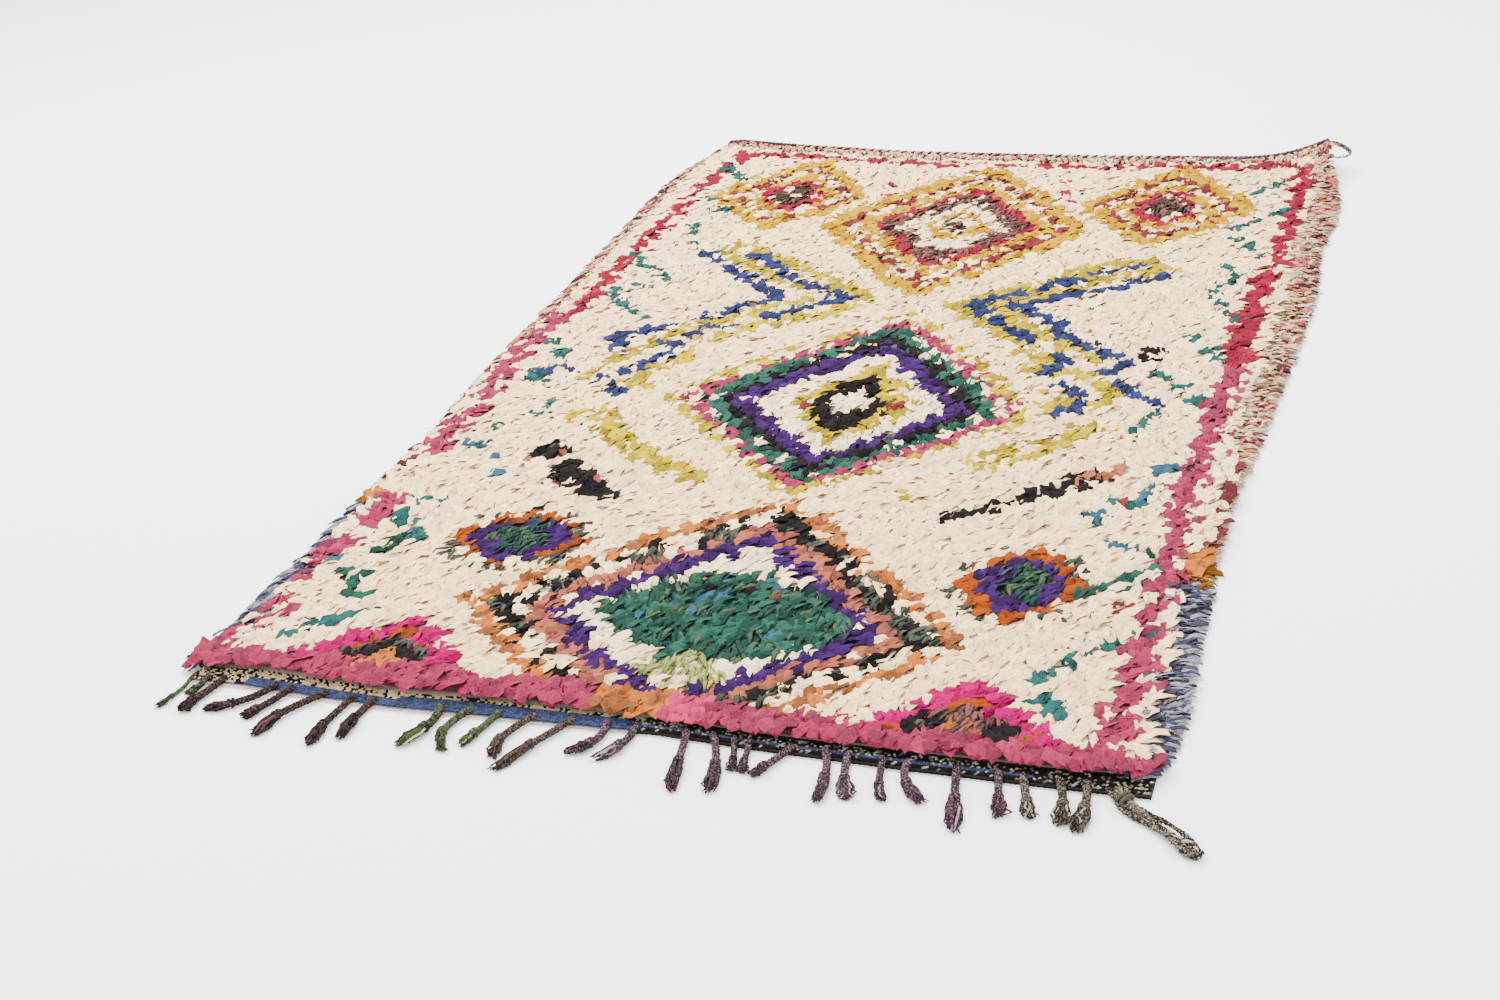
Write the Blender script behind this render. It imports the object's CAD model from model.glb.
"""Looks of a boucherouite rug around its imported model: rag pile, yarn selvedges,
end band, fringe, corner tassel and corner loop.

Metres, +Z up. The rug lies on the floor with its fringed end towards -Y.
"""
import math
from functools import partial

import bmesh
import bpy
import numpy as np
from bpy.props import FloatProperty, FloatVectorProperty, IntProperty, PointerProperty
from mathutils import Matrix, Vector, noise


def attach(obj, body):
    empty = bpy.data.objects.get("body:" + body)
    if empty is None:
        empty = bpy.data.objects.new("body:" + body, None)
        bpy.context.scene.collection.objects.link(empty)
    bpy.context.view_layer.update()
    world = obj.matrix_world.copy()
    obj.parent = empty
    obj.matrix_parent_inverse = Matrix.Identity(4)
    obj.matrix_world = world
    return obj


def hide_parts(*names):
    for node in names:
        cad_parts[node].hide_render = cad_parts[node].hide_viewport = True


bl_info = {
    "name": "Boucherouite rug",
    "version": (1, 0, 0),
    "blender": (4, 5, 0),
    "location": "3D View > Sidebar > Rug",
    "description": "Builds a knotted rag rug around its packed model",
    "category": "Add Mesh",
}

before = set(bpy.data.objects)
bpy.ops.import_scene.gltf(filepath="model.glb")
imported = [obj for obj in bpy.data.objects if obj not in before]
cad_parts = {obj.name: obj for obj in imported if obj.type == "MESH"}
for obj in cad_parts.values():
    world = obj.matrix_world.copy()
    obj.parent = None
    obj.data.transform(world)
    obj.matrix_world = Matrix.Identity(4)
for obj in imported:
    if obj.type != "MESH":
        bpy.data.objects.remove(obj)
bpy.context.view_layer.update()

BODY = "root"
BAKE_MAP = "OFBake"
RUN_MAP = "AlongLock"
DYE = "Dye"

# Plan of the rug in millimetres, as in the part's source
SIDES = (
    # y, left x, right x
    (-1050, -598, 568),
    (-950, -594, 583),
    (-800, -597, 581),
    (-550, -600, 571),
    (-380, -596, 572),
    (-200, -614, 585),
    (0, -622, 598),
    (150, -617, 605),
    (350, -627, 614),
    (570, -634, 602),
    (720, -643, 617),
    (830, -640, 614),
    (920, -638, 602),
    (1000, -628, 586),
    (1040, -616, 578),
    (1080, -592, 572),
)
ENDS = (
    # x, pile near y, band outer y, far y
    (-620, -1036, -1053, 1062),
    (-580, -1033, -1053, 1075),
    (-500, -1025, -1053, 1058),
    (-400, -1031, -1060, 1044),
    (-300, -1040, -1064, 1032),
    (-220, -1035, -1061, 1022),
    (-60, -1036, -1058, 1020),
    (20, -1040, -1054, 1020),
    (150, -1047, -1062, 1020),
    (300, -1049, -1067, 1028),
    (450, -1050, -1069, 1034),
    (620, -1043, -1068, 1036),
)
CURL_HEIGHT = 0.039
CURL_X = (0.41, 0.575)
CURL_Y = (0.86, 1.03)
CURL_BEND = 2.2
BAND_SPAN = (-0.575, 0.562)
CLOTH_THICK = 0.0042
BAND_THICK = 0.0026
BAND_ROWS = 8
STITCH_PITCH = 0.0033
COMB_PITCH = 0.0050
LAYER_STEP = 0.0100

# Tubes of cords and of loose threads. A long cord is cut into runs of rings
CORD_RINGS, CORD_SIDES = 22, 6
THREAD_RINGS, THREAD_SIDES = 6, 4
RUN = CORD_RINGS - 1
CORD_FLAT = 0.85

# How long one turn of each cord's plies is
EDGE_TWIST, FRINGE_TWIST, TASSEL_TWIST, LOOP_TWIST, HEM_TWIST = 0.012, 0.013, 0.014, 0.015, 0.017

# A fringe strand's points, the one at its knot, and the threads of its tassel
STRAND_POINTS = 60
KNOT_POINT = 34
THREADS = 30
TIP_THREADS = 46

# The fringe from left to right, in millimetres
STRANDS = (
    # root x, bend x, bend y, end x, end y, spread, size, dye of the cord
    (-569, -572, -1086, -578, -1116, 0.7, 0.55, "fringe green"),
    (-551, -552, -1072, -555, -1085, 1.3, 0.80, "fringe green"),
    (-527, -538, -1094, -543, -1119, 1.4, 1.00, "maroon"),
    (-456, -484, -1090, -519, -1109, 0.9, 0.95, "maroon"),
    (-434, -452, -1097, -463, -1116, 1.1, 0.95, "maroon"),
    (-387, -419, -1100, -431, -1148, 1.3, 1.00, "maroon"),
    (-352, -359, -1108, -357, -1155, 1.4, 0.95, "maroon"),
    (-325, -330, -1090, -329, -1136, 1.7, 0.95, "maroon"),
    (-242, -239, -1092, -257, -1136, 1.5, 1.05, "fringe green"),
    (-203, -217, -1096, -203, -1135, 1.2, 0.95, "fringe green"),
    (-169, -178, -1092, -187, -1121, 1.0, 0.90, "fringe green"),
    (-126, -145, -1097, -141, -1136, 1.1, 0.95, "umber"),
    (-80, -103, -1097, -130, -1157, 1.2, 0.95, "umber"),
    (-40, -41, -1086, -66, -1112, 1.5, 0.95, "mauve"),
    (-7, -8, -1083, -29, -1117, 1.5, 0.95, "mauve"),
    (54, 63, -1096, 73, -1158, 1.4, 0.95, "mauve"),
    (85, 103, -1094, 115, -1152, 1.3, 0.95, "mauve"),
    (110, 120, -1086, 125, -1107, 0.9, 0.75, "mauve"),
    (129, 133, -1087, 137, -1109, 0.9, 0.75, "mauve"),
    (178, 160, -1093, 149, -1114, 1.0, 0.90, "mauve"),
    (214, 226, -1096, 228, -1146, 1.2, 0.95, "mauve"),
    (240, 247, -1098, 260, -1135, 1.4, 0.95, "mauve"),
    (279, 285, -1100, 296, -1131, 0.9, 0.85, "mauve"),
    (307, 311, -1092, 337, -1126, 1.0, 0.95, "mauve"),
    (359, 367, -1106, 380, -1167, 1.4, 1.00, "mauve"),
    (403, 411, -1100, 418, -1134, 1.3, 0.95, "mauve"),
    (429, 440, -1100, 449, -1130, 1.2, 0.95, "soot"),
    (467, 477, -1098, 480, -1135, 1.6, 1.00, "soot"),
    (495, 500, -1098, 498, -1143, 1.4, 1.00, "soot"),
)

# The corner tassel's middle line, from its root to its tip
TASSEL_LINE = (
    # x, y, width share
    (0.5270, -1.0640, 1.10),
    (0.5350, -1.0850, 1.05),
    (0.5450, -1.0940, 1.00),
    (0.5740, -1.1170, 1.05),
    (0.6030, -1.1440, 1.10),
    (0.6140, -1.1550, 0.90),
    (0.6210, -1.1620, 0.60),
)

TASSEL_KNOT = np.array((0.5385, -1.0860, 0.0072))

# The corner loop's middle line
LOOP_LINE = (
    # x, y, z
    (0.5674, 1.0310, 0.0465),
    (0.5850, 1.0310, 0.0460),
    (0.6030, 1.0240, 0.0400),
    (0.6120, 1.0120, 0.0350),
    (0.6080, 0.9980, 0.0330),
    (0.5950, 0.9850, 0.0340),
    (0.5806, 0.9780, 0.0365),
)

# The rolled hem: its height and thickness, and the dyes of its two plies, in parts counted in runs
HEM_LEVEL = 0.0150
HEM_THICK = 0.0092
HEM_DYES = (
    # from, to, dyes
    (0, 2, ("hem mauve", "dusky rose")),
    (2, 13, ("mauve pink", "dusky rose")),
    (13, 16, ("hem mauve", "loop grey")),
)

# Floor and light
FLOOR_SIZE = 14.0
LAMP_SIZE = 2.6
LAMP_PLACE = (-1.2, 1.0, 2.6)

# The camera's lens and first three matrix rows, found from the pile's corners in the photo
FOCAL = 50.83
CAMERA = (
    (0.94771, -0.07168, 0.31099, 0.822),
    (0.31003, 0.43794, -0.84386, -2.872),
    (-0.07570, 0.89614, 0.43726, 1.241),
)

# How far in from each side the rags stop and the combed yarn shows, in millimetres
PILE_MARGIN = (
    # y, left, right
    (-1050, 16, 22),
    (-940, 34, 38),
    (-630, 32, 40),
    (-600, 14, 12),
    (-280, 14, 10),
    (-240, 20, 40),
    (0, 26, 46),
    (500, 30, 56),
    (1060, 30, 46),
)

# Dyes, as sRGB, with a second one for mottled yarn
DYES = {
    # name: first, second, share of the second, is it yarn
    "cream": ("#FCD6A1", "#E6C795", 0.35, False),
    "white": ("#F4DAAE", "#E6CA9C", 0.25, False),
    "pink": ("#892A45", "#71273C", 0.35, False),
    "hot pink": ("#9C0050", "#8A0044", 0.40, False),
    "rosy": ("#B12E56", "#902A48", 0.40, False),
    "crimson": ("#80192E", "#6A1828", 0.35, False),
    "gold": ("#AE8600", "#9C6E00", 0.35, False),
    "olive": ("#B09600", "#8B7812", 0.40, False),
    "orange": ("#883C0D", "#6A3115", 0.35, False),
    "peach": ("#AA5F24", "#7C4828", 0.40, False),
    "salmon": ("#94523D", "#794436", 0.35, False),
    "purple": ("#341A4B", "#291439", 0.40, False),
    "green": ("#264D3F", "#1E3B32", 0.45, False),
    "deep green": ("#183328", "#11271F", 0.40, False),
    "streaked green": ("#26483B", "#4E6348", 0.35, True),
    "teal": ("#244E4B", "#1F3F3D", 0.40, False),
    "blue": ("#293055", "#212642", 0.40, False),
    "sky": ("#2E5262", "#284454", 0.40, False),
    "black": ("#1C1817", "#141111", 0.40, False),
    "grey green": ("#4F5549", "#3D4238", 0.45, True),
    "brick": ("#6A2A28", "#572321", 0.40, False),
    "burgundy": ("#5A252E", "#4A1E25", 0.40, False),
    "taupe": ("#463731", "#7B5247", 0.45, True),
    "rose taupe": ("#84534C", "#564039", 0.45, True),
    "mint": ("#9CA85B", "#D0C67C", 0.45, True),
    "dark red": ("#561A29", "#471522", 0.40, True),
    "blue grey": ("#4D4C5F", "#A09EAE", 0.48, True),
    "mauve pink": ("#DD7567", "#FDDEB2", 0.45, True),
    "dusky rose": ("#65363B", "#4F3035", 0.42, True),
    "yellow patch": ("#9D6C00", "#88540D", 0.45, True),
    "maroon": ("#251519", "#351F26", 0.25, True),
    "fleck": ("#744755", "#603E48", 0.45, True),
    "pale fleck": ("#B693A9", "#7A6073", 0.45, True),
    "fringe green": ("#374B2B", "#212D1D", 0.35, True),
    "umber": ("#463731", "#2B221E", 0.40, True),
    "mauve": ("#42253E", "#2A1B2B", 0.40, True),
    "soot": ("#22201D", "#504D41", 0.25, True),
    "band blue": ("#4E577E", "#3E486B", 0.35, True),
    "speck dark": ("#211918", "#150F0F", 0.40, True),
    "hem mauve": ("#7A4B5A", "#4F444A", 0.45, True),
    "loop grey": ("#6A6567", "#494649", 0.40, True),
    "loop pale": ("#BFB69E", "#7E7A6E", 0.40, True),
}

GROUND_WOOL = "#B9A88C"

# Lozenges and rings of lozenges, painted in this order, in millimetres and percent
LOZENGES = (
    # dye, middle x, middle y, left, right, down, up, band (0 fills), unbroken percent
    ("peach", 5, -840, 322, 318, 300, 335, 30, 94),
    ("black", 5, -840, 288, 284, 268, 298, 52, 40),
    ("salmon", 5, -840, 240, 240, 225, 262, 30, 92),
    ("purple", 5, -840, 210, 212, 196, 232, 36, 95),
    ("white", 5, -840, 174, 176, 165, 195, 0, 100),
    ("olive", 0, -195, 285, 275, 304, 372, 24, 72),
    ("pink", 0, -195, 254, 248, 280, 338, 22, 80),
    ("green", -2, -195, 228, 224, 258, 306, 40, 88),
    ("black", -2, -195, 200, 197, 232, 268, 28, 92),
    ("purple", -2, -195, 176, 174, 207, 238, 38, 96),
    ("white", -2, -195, 142, 140, 172, 192, 0, 100),
    ("olive", 3, -195, 92, 98, 134, 156, 0, 94),
    ("black", -2, -197, 62, 58, 106, 112, 0, 100),
    ("white", 0, -190, 36, 34, 48, 48, 0, 95),
    ("gold", -25, 582, 250, 238, 350, 350, 38, 96),
    ("brick", -25, 582, 211, 201, 296, 296, 22, 72),
    ("gold", -25, 582, 180, 171, 252, 252, 26, 90),
    ("crimson", -25, 582, 153, 145, 214, 214, 22, 90),
    ("rose taupe", -25, 582, 132, 126, 186, 186, 38, 90),
    ("white", -25, 582, 95, 90, 133, 133, 0, 100),
    ("gold", -25, 582, 66, 62, 94, 94, 30, 85),
    ("taupe", -25, 582, 30, 28, 40, 40, 0, 90),
    ("gold", -370, 715, 156, 150, 186, 238, 36, 96),
    ("brick", -366, 715, 122, 121, 143, 183, 20, 72),
    ("gold", -366, 715, 94, 93, 110, 142, 22, 90),
    ("crimson", -366, 715, 72, 71, 84, 108, 26, 92),
    ("taupe", -366, 715, 44, 44, 54, 64, 0, 92),
    ("gold", 322, 712, 155, 162, 208, 246, 36, 96),
    ("brick", 322, 712, 121, 126, 162, 192, 20, 72),
    ("gold", 322, 712, 93, 97, 125, 148, 22, 90),
    ("crimson", 322, 712, 71, 74, 96, 114, 26, 92),
    ("taupe", 322, 712, 44, 44, 58, 66, 0, 92),
)
# The ring with black, white and grey-green checks, and their size across, along and inwards
CHECKED_RING = LOZENGES[1]
CHECK_SIZES = (0.036, 0.042, 0.027)

# How round the two kinds of form are, from 1 for straight sides
LOZENGE_POWER = 1.08
ROSETTE_POWER = 1.6

# Rounder motifs: rosettes and single tufts, in millimetres and percent
ROSETTES = (
    # dye, middle x, middle y, half width, half length, band (0 fills), unbroken percent
    ("green", 18, -820, 157, 110, 0, 100),
    ("grey green", -310, -672, 106, 86, 16, 40),
    ("orange", -310, -672, 92, 72, 24, 88),
    ("purple", -310, -672, 70, 55, 0, 100),
    ("streaked green", -310, -668, 40, 36, 0, 85),
    ("grey green", 345, -684, 88, 104, 16, 40),
    ("orange", 345, -684, 74, 90, 24, 88),
    ("purple", 345, -684, 56, 70, 0, 100),
    ("streaked green", 350, -674, 34, 46, 0, 85),
    ("black", -320, -580, 14, 12, 0, 100),
    ("mint", 10, -955, 50, 45, 0, 90),
    ("brick", -62, -212, 12, 14, 0, 100),
    ("brick", 68, -196, 12, 14, 0, 100),
    ("black", 400, 52, 17, 30, 0, 100),
    ("crimson", -200, 800, 10, 14, 0, 100),
    ("crimson", -190, 740, 10, 12, 0, 100),
    ("crimson", 120, 840, 12, 12, 0, 100),
    ("crimson", 160, 800, 12, 12, 0, 100),
    ("crimson", 130, 780, 10, 10, 0, 100),
    ("crimson", 150, 730, 10, 10, 0, 100),
    ("sky", 470, -330, 18, 16, 0, 100),
    ("brick", 470, -710, 20, 12, 0, 100),
    ("brick", 428, -447, 10, 9, 0, 100),
    ("peach", 552, -582, 30, 30, 0, 100),
    ("gold", 574, -340, 12, 14, 0, 100),
    ("gold", -592, -545, 16, 20, 0, 100),
    ("peach", -585, -575, 18, 18, 0, 100),
    ("olive", 145, -470, 18, 12, 0, 100),
)

# Triangles that stand on the border of the fringed end, in millimetres
GABLES = (
    # middle x, base y, half width, height
    (-352, -1000, 118, 118),
    (352, -1020, 116, 116),
)
GABLE_BANDS = (
    # dye, share of the size, unbroken share
    ("hot pink", 1.00, 1.00),
    ("orange", 0.68, 0.90),
    ("grey green", 0.58, 0.80),
    ("black", 0.52, 0.90),
    ("peach", 0.30, 0.90),
)

# Tufts inside the right triangle, in rows like those of the rosettes
GABLE_TUFTS = (
    ("rose taupe", 345, -998, 52, 30, 0, 95),
    ("black", 305, -1002, 20, 17, 0, 100),
    ("black", 392, -1005, 28, 18, 0, 100),
    ("peach", 342, -998, 10, 12, 0, 100),
)

# Broken lines of knots: borders, chevrons, bars and zigzags, in millimetres and percent. The
# first ones are the side borders, whose edges are toothed
SIDE_BORDERS = 5
TOOTH_DEEP = 0.020
TOOTH_LONG = 0.068
TOOTHED_FROM = 0.44
LINES = (
    # dye, width, unbroken percent, then x and y of each point
    ("pink", 36, 94, -545, -430, -550, -350, -560, -200, -575, -50, -566, 100),
    ("crimson", 28, 100, -560, 90, -550, 140, -556, 250, -562, 500, -560, 700, -553, 850,
     -541, 958),
    ("pink", 33, 100, 508, -1000, 512, -800, 512, -550, 506, -402, 510, -313, 514, -207,
     511, -94, 525, 33),
    ("crimson", 40, 100, 525, 33, 517, 161, 521, 301, 524, 395),
    ("crimson", 28, 100, 524, 395, 538, 553, 540, 750, 540, 902, 532, 926),
    ("burgundy", 13, 95, 585, -257, 573, -272, 566, -307, 569, -341, 561, -372, 558, -408),
    ("burgundy", 13, 95, 558, -408, 560, -439, 565, -478, 558, -518, 551, -546),
    ("burgundy", 10, 70, -590, -292, -577, -405, -570, -499),
    ("crimson", 24, 100, -540, 966, -363, 958, -197, 937, -93, 922),
    ("crimson", 22, 97, -27, 936, 33, 934, 172, 933, 269, 950, 403, 950, 517, 950, 531, 934),
    ("teal", 18, 88, -550, 880, -490, 810),
    ("teal", 18, 88, -550, 750, -460, 600),
    ("teal", 18, 88, -500, 550, -470, 440),
    ("teal", 18, 88, -550, 370, -450, 270, -530, 200, -440, 100),
    ("teal", 18, 88, 510, 870, 460, 800),
    ("teal", 18, 88, 530, 730, 450, 620),
    ("teal", 17, 85, 460, 570, 500, 500),
    ("teal", 18, 88, 460, 430, 480, 390, 460, 320),
    ("teal", 18, 88, 460, 290, 500, 200),
    ("teal", 17, 85, 440, 130, 500, 40),
    ("teal", 18, 85, 410, -10, 480, -110),
    ("teal", 18, 85, 430, -170, 410, -220),
    ("sky", 16, 88, 467, -383, 451, -441),
    ("teal", 16, 85, 445, -446, 405, -453),
    ("sky", 20, 92, 402, -485, 420, -514),
    ("sky", 18, 92, 432, -543, 452, -570),
    ("deep green", 14, 95, 470, -574, 481, -580),
    ("green", 22, 90, 498, -612, 451, -671, 415, -686),
    ("teal", 18, 88, 514, -776, 481, -800, 438, -847, 401, -900),
    ("teal", 22, 95, 424, -933, 460, -965),
    ("pink", 30, 92, -565, -999, -551, -970),
    ("pink", 22, 85, -552, -931, -527, -948),
    ("pink", 40, 92, -557, -887, -530, -905),
    ("pink", 16, 85, -566, -809, -540, -828),
    ("pink", 32, 92, -555, -773, -544, -722),
    ("pink", 20, 85, -547, -702, -523, -708),
    ("pink", 36, 92, -534, -658, -532, -610),
    ("pink", 20, 80, -554, -587, -532, -578),
    ("olive", 32, 88, 349, 432, 289, 435, 226, 381, 163, 299, 92, 237, 56, 210),
    ("olive", 32, 88, 56, 210, 119, 144, 182, 82, 242, 14, 236, -33),
    ("olive", 32, 80, 273, -103, 307, -144, 275, -170, 246, -213),
    ("olive", 32, 88, 368, 410, 292, 360, 227, 307, 171, 260, 128, 219),
    ("olive", 32, 88, 128, 219, 177, 152, 237, 85, 286, 51, 323, 9),
    ("olive", 32, 85, 281, -35, 327, -51, 358, -98, 350, -163),
    ("blue", 26, 92, 319, 414, 275, 386, 220, 329, 146, 270, 83, 216),
    ("blue", 26, 92, 83, 216, 123, 171, 166, 117, 212, 73),
    ("blue", 26, 92, 260, 28, 274, 3, 247, -43),
    ("blue", 26, 92, 271, -62, 326, -127, 314, -168, 293, -178),
    ("blue", 26, 95, 367, 373, 296, 315, 233, 273, 155, 213),
    ("blue", 24, 95, 155, 213, 228, 162, 254, 107, 305, 61, 370, 8, 342, -34),
    ("blue", 26, 92, 371, -71, 402, -106, 437, -133),
    ("olive", 32, 88, -396, 428, -375, 456, -261, 371, -145, 273, -89, 220),
    ("olive", 32, 86, -89, 220, -144, 142, -229, 93, -298, 20),
    ("olive", 32, 86, -298, -26, -307, -67, -333, -103, -345, -174),
    ("olive", 32, 88, -387, 403, -296, 323, -219, 255),
    ("olive", 24, 86, -176, 205, -232, 167, -286, 112, -351, 47, -381, -28, -401, -80),
    ("blue", 26, 90, -349, 397, -307, 381, -220, 284, -123, 221),
    ("blue", 26, 90, -123, 221, -175, 169, -216, 125),
    ("blue", 26, 85, -280, 95, -304, 66, -325, 29),
    ("blue", 30, 90, -353, -4, -333, -14),
    ("blue", 26, 80, -331, -54, -364, -99, -380, -125),
    ("blue", 24, 95, -426, 399, -364, 335, -282, 258, -231, 217),
    ("blue", 26, 92, -231, 217, -276, 175, -303, 123, -350, 99),
    ("blue", 24, 92, -362, 76, -395, 55, -413, 31),
    ("blue", 40, 92, -433, 7, -416, -24),
    ("olive", 40, 85, -386, -297, -360, -274, -304, -346, -247, -397, -138, -470),
    ("blue", 26, 85, -481, -118, -508, -149),
    ("blue", 26, 85, -418, -144, -357, -203),
    ("olive", 22, 80, -411, -73, -434, -173),
    ("olive", 22, 80, -364, -164, -327, -172),
    ("teal", 14, 85, -541, -18, -492, -91),
    ("deep green", 22, 95, -522, -172, -508, -177),
    ("teal", 12, 85, -522, -130, -465, -218, -443, -261),
    ("green", 14, 90, -448, -290, -479, -302),
    ("teal", 14, 85, -498, -329, -494, -357),
    ("sky", 14, 88, -514, -396, -473, -432, -428, -472, -417, -521),
    ("teal", 22, 92, -490, -595, -474, -585),
    ("teal", 18, 90, -515, -624, -476, -664, -443, -689, -474, -705),
    ("deep green", 16, 90, -467, -678, -478, -737, -486, -742),
    ("sky", 18, 95, -537, -770, -526, -771),
    ("green", 20, 95, -504, -794, -474, -821, -454, -859),
    ("teal", 22, 95, -426, -886, -450, -904, -471, -931),
    ("teal", 12, 90, -487, -951, -503, -974),
    ("salmon", 14, 85, -361, -391, -352, -419),
    ("salmon", 12, 80, -400, -450, -395, -432),
    ("salmon", 12, 80, -347, -512, -333, -509),
    ("salmon", 14, 85, -273, -492, -259, -512),
    ("black", 56, 96, -387, -413, -372, -416),
    ("black", 46, 95, -341, -464, -304, -497, -245, -537),
    ("black", 24, 85, 400, -375, 220, -530),
    ("black", 40, 95, 385, -372, 366, -382),
    ("salmon", 18, 70, 410, -360, 370, -390),
    ("olive", 48, 80, 355, -230, 230, -360),
)

FAR = 9.0
FULL_TURN = 2.0 * math.pi
UP = np.array((0.0, 0.0, 1.0))


def linear(code):
    """An sRGB hex colour as three linear values."""
    values = [int(code[i : i + 2], 16) / 255.0 for i in (1, 3, 5)]
    return tuple(v / 12.92 if v <= 0.04045 else ((v + 0.055) / 1.055) ** 2.4 for v in values)


def table_column(table, column, at):
    """The table's column at values of its first column, in straight steps, in metres."""
    rows = np.array([[row[0], row[column]] for row in table]) / 1000.0
    return np.interp(at, rows[:, 0], rows[:, 1])


left_edge = partial(table_column, SIDES, 1)
right_edge = partial(table_column, SIDES, 2)
pile_near = partial(table_column, ENDS, 1)
band_outer = partial(table_column, ENDS, 2)
far_edge = partial(table_column, ENDS, 3)


def curl(x, y):
    """How far the cloth lifts off the floor towards its far right corner."""
    along_x = np.clip((x - CURL_X[0]) / (CURL_X[1] - CURL_X[0]), 0.0, 1.0) ** CURL_BEND
    share = np.clip((y - CURL_Y[0]) / (CURL_Y[1] - CURL_Y[0]), 0.0, 1.0)
    return CURL_HEIGHT * along_x * share * share * (3.0 - 2.0 * share)


def noise_at(x, y, size, layer):
    """Smooth noise, about -1 to 1, at each place of two arrays."""
    return np.array([noise.noise(Vector((a / size, b / size, layer))) for a, b in zip(x, y)])


def tube_pattern(rings, sides):
    """Topology of a closed tube: each vertex's ring and side, and the faces."""
    bm = bmesh.new()
    bmesh.ops.create_cone(
        bm, cap_ends=True, cap_tris=False, segments=sides, radius1=1.0, radius2=1.0, depth=1.0
    )
    runs = [e for e in bm.edges if abs(e.verts[0].co.z - e.verts[1].co.z) > 0.5]
    if rings > 2:
        bmesh.ops.subdivide_edges(bm, edges=runs, cuts=rings - 2)
    bmesh.ops.recalc_face_normals(bm, faces=bm.faces)
    co = np.array([vert.co[:] for vert in bm.verts])
    faces = [[vert.index for vert in face.verts] for face in bm.faces]
    bm.free()
    ring = np.rint((co[:, 2] + 0.5) * (rings - 1)).astype(int)
    turn = np.arctan2(co[:, 1], co[:, 0]) / (2.0 * math.pi)
    turn = turn - turn[ring == 0].min()
    side = np.rint((turn % 1.0) * sides).astype(int) % sides
    return ring, side, faces


# Where a tube's wall lies in its square cell of the baked map, and below it its two caps
WALL_LEFT, WALL_WIDE, WALL_LOW, WALL_HIGH = 0.06, 0.88, 0.15, 0.79
CAP_LEFT, CAP_SHIFT, CAP_LOW, CAP_SIZE = 0.12, 0.23, 0.07, 0.05


def bake_corners(ring, side, faces, rings, sides):
    """Where each face corner of a tube lies in its own cell of the baked map."""
    corners = []
    for face in faces:
        if len({ring[v] for v in face}) == 1:
            middle = CAP_LEFT + CAP_SHIFT * bool(ring[face[0]])
            for v in face:
                turn = FULL_TURN * side[v] / sides
                across, along = CAP_SIZE * math.cos(turn), CAP_SIZE * math.sin(turn)
                corners.append((middle + across, CAP_LOW + along))
            continue
        wraps = any(side[v] == 0 for v in face) and any(side[v] == sides - 1 for v in face)
        for v in face:
            around = sides if wraps and side[v] == 0 else side[v]
            corners.append(
                (WALL_LEFT + WALL_WIDE * around / sides, WALL_LOW + WALL_HIGH * ring[v] / (rings - 1))
            )
    return np.array(corners)


def placed(name, data):
    """A new object of this data, in the scene."""
    made = bpy.data.objects.new(name, data)
    bpy.context.scene.collection.objects.link(made)
    return made


def painted(name, mesh, colours, crease):
    """A smooth object of a mesh, with rgb or rgba for each vertex as its dye, sharp at
    edges over the crease angle in degrees."""
    full = np.ones((len(mesh.vertices), 4), np.float32)
    full[:, : colours.shape[1]] = colours
    attribute = mesh.color_attributes.new(DYE, "FLOAT_COLOR", "POINT")
    attribute.data.foreach_set("color", full.ravel())
    mesh.shade_smooth()
    if crease:
        mesh.set_sharp_from_angle(angle=math.radians(crease))
    return placed(name, mesh)


def joined_tubes(name, places, dyes, runs, crease=None):
    """One mesh of many closed tubes. places is tube, ring, side, xyz; dyes is tube,
    ring, rgb or rgba; runs is tube, (length, girth) in metres for patterns along them."""
    count, rings, sides = places.shape[:3]
    ring, side, faces = tube_pattern(rings, sides)
    per_tube = len(ring)
    points = places[:, ring, side, :].reshape(-1, 3)
    corner_verts = np.array([v for face in faces for v in face])
    sizes = np.array([len(face) for face in faces])
    loops = (corner_verts[None, :] + per_tube * np.arange(count)[:, None]).reshape(-1)
    totals = np.tile(sizes, count)
    starts = np.concatenate(([0], np.cumsum(totals)[:-1]))
    mesh = bpy.data.meshes.new(name)
    mesh.vertices.add(len(points))
    mesh.vertices.foreach_set("co", points.astype(np.float32).ravel())
    mesh.loops.add(len(loops))
    mesh.loops.foreach_set("vertex_index", loops.astype(np.int32))
    mesh.polygons.add(len(totals))
    mesh.polygons.foreach_set("loop_start", starts.astype(np.int32))
    mesh.update(calc_edges=True)
    cells = math.ceil(math.sqrt(count))
    corner = bake_corners(ring, side, faces, rings, sides)
    cell = np.stack((np.arange(count) % cells, np.arange(count) // cells), axis=1)
    bake = (cell[:, None, :] + corner[None, :, :]) / cells
    wall = corner[:, 1] >= WALL_LOW
    around = np.where(wall, (corner[:, 0] - WALL_LEFT) / WALL_WIDE, 0.5)
    along = ring[corner_verts] / (rings - 1)
    shift = (np.arange(count) * 0.037)[:, None]
    run = np.stack((around * runs[:, 1:2] + shift, along * runs[:, 0:1] + shift), axis=2)
    for map_name, uv in ((BAKE_MAP, bake), (RUN_MAP, run)):
        layer = mesh.uv_layers.new(name=map_name)
        layer.uv.foreach_set("vector", uv.astype(np.float32).ravel())
    return painted(name, mesh, dyes[:, ring, :].reshape(-1, dyes.shape[2]), crease)


def unit(vectors):
    """Vectors of length one, along the last axis."""
    return vectors / np.maximum(np.linalg.norm(vectors, axis=-1, keepdims=True), 1e-6)


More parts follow.
